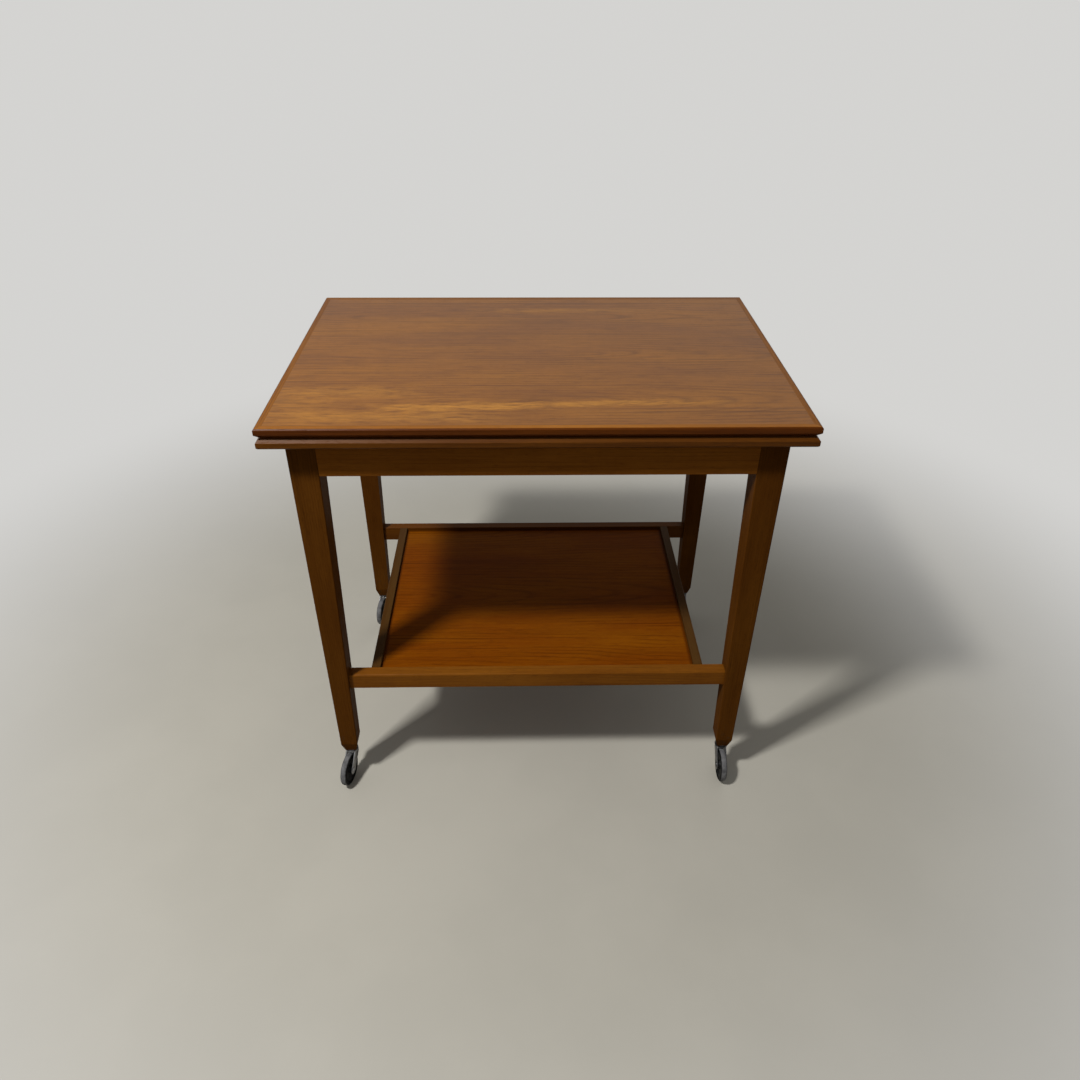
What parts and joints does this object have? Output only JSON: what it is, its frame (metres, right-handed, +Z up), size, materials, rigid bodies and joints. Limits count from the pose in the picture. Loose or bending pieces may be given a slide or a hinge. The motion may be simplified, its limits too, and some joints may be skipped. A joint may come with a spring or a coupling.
{
  "type": "drop leaf tea trolley",
  "caption": "Low tea trolley on swivel casters: a two-leaf top that turns on a pivot and folds open on hinges, tapered legs and a recessed tray shelf.",
  "frame": {"origin": "on the floor under the middle of the whole trolley, with the top folded and the casters trailing forward", "axes": "+X along the long side to the right, +Y to the back where the hinges are, +Z up"},
  "size_m": [0.74, 0.5215, 0.7029],
  "materials": {
    "top_teak": "satin oiled teak veneer and edging",
    "frame_teak": "satin oiled solid teak, darker than the top",
    "shelf_teak": "satin oiled teak, orange brown",
    "hidden_beech": "unfinished beech, out of sight",
    "brass": "aged brass",
    "steel": "zinc plated steel",
    "caster_steel": "dull nickel plated pressed steel",
    "wheel_steel": "grey painted pressed steel",
    "tyre_rubber": "black rubber with a dusty tread",
    "felt": "green felt"
  },
  "bodies": {
    "frame": {"front_apron": "frame_teak", "back_apron": "frame_teak", "left_apron": "frame_teak", "right_apron": "frame_teak", "leg_front_left": "frame_teak", "leg_front_right": "frame_teak", "leg_back_left": "frame_teak", "leg_back_right": "frame_teak", "shelf_front_rail": "frame_teak", "shelf_back_rail": "frame_teak", "shelf_left_rail": "frame_teak", "shelf_right_rail": "frame_teak", "shelf_panel": "shelf_teak", "pivot_rail": "hidden_beech", "stop_peg": "hidden_beech", "felt_glides": "felt", "caster_sockets": "steel"},
    "lower_leaf": {"lower_leaf_board": "top_teak", "lower_leaf_lipping": "top_teak", "hinge_left_lower_plate": "brass", "hinge_centre_lower_plate": "brass", "hinge_right_lower_plate": "brass", "hinge_left_pin": "brass", "hinge_centre_pin": "brass", "hinge_right_pin": "brass", "hinge_screws_lower": "brass", "pivot_plate": "steel", "pivot_plate_screws": "steel", "pivot_washer": "steel", "pivot_nut": "steel"},
    "upper_leaf": {"upper_leaf_board": "top_teak", "upper_leaf_lipping": "top_teak", "hinge_left_upper_plate": "brass", "hinge_centre_upper_plate": "brass", "hinge_right_upper_plate": "brass", "hinge_screws_upper": "brass"},
    "front_left_fork": {"caster_front_left_fork": "caster_steel", "caster_front_left_stem": "caster_steel", "caster_front_left_axle": "caster_steel"},
    "front_left_wheel": {"caster_front_left_wheel": "wheel_steel", "caster_front_left_tyre": "tyre_rubber"},
    "front_right_fork": {"caster_front_right_fork": "caster_steel", "caster_front_right_stem": "caster_steel", "caster_front_right_axle": "caster_steel"},
    "front_right_wheel": {"caster_front_right_wheel": "wheel_steel", "caster_front_right_tyre": "tyre_rubber"},
    "back_left_fork": {"caster_back_left_fork": "caster_steel", "caster_back_left_stem": "caster_steel", "caster_back_left_axle": "caster_steel"},
    "back_left_wheel": {"caster_back_left_wheel": "wheel_steel", "caster_back_left_tyre": "tyre_rubber"},
    "back_right_fork": {"caster_back_right_fork": "caster_steel", "caster_back_right_stem": "caster_steel", "caster_back_right_axle": "caster_steel"},
    "back_right_wheel": {"caster_back_right_wheel": "wheel_steel", "caster_back_right_tyre": "tyre_rubber"}
  },
  "joints": [
    {"name": "top_swivel", "type": "hinge", "parent": "frame", "child": "lower_leaf", "pos_m": [0.1256, 0.13235, 0.6731], "axis": [0, 0, 1], "range_deg": [0, 90]},
    {"name": "leaf_fold", "type": "hinge", "parent": "lower_leaf", "child": "upper_leaf", "pos_m": [0, 0.25795, 0.688], "axis": [-1, 0, 0], "range_deg": [0, 180]},
    {"name": "front_left_swivel", "type": "hinge", "parent": "frame", "child": "front_left_fork", "pos_m": [-0.326, -0.20925, 0.058], "axis": [0, 0, 1], "continuous": true},
    {"name": "front_left_spin", "type": "hinge", "parent": "front_left_fork", "child": "front_left_wheel", "pos_m": [-0.33087, -0.23122, 0.029], "axis": [0.9763, -0.2164, 0], "continuous": true},
    {"name": "front_right_swivel", "type": "hinge", "parent": "frame", "child": "front_right_fork", "pos_m": [0.326, -0.20925, 0.058], "axis": [0, 0, 1], "continuous": true},
    {"name": "front_right_spin", "type": "hinge", "parent": "front_right_fork", "child": "front_right_wheel", "pos_m": [0.32561, -0.23175, 0.029], "axis": [0.9998, -0.0175, 0], "continuous": true},
    {"name": "back_left_swivel", "type": "hinge", "parent": "frame", "child": "back_left_fork", "pos_m": [-0.326, 0.22275, 0.058], "axis": [0, 0, 1], "continuous": true},
    {"name": "back_left_spin", "type": "hinge", "parent": "back_left_fork", "child": "back_left_wheel", "pos_m": [-0.32964, 0.20055, 0.029], "axis": [0.9869, -0.1616, 0], "continuous": true},
    {"name": "back_right_swivel", "type": "hinge", "parent": "frame", "child": "back_right_fork", "pos_m": [0.326, 0.22275, 0.058], "axis": [0, 0, 1], "continuous": true},
    {"name": "back_right_spin", "type": "hinge", "parent": "back_right_fork", "child": "back_right_wheel", "pos_m": [0.32404, 0.20034, 0.029], "axis": [0.9962, -0.0872, 0], "continuous": true}
  ]
}
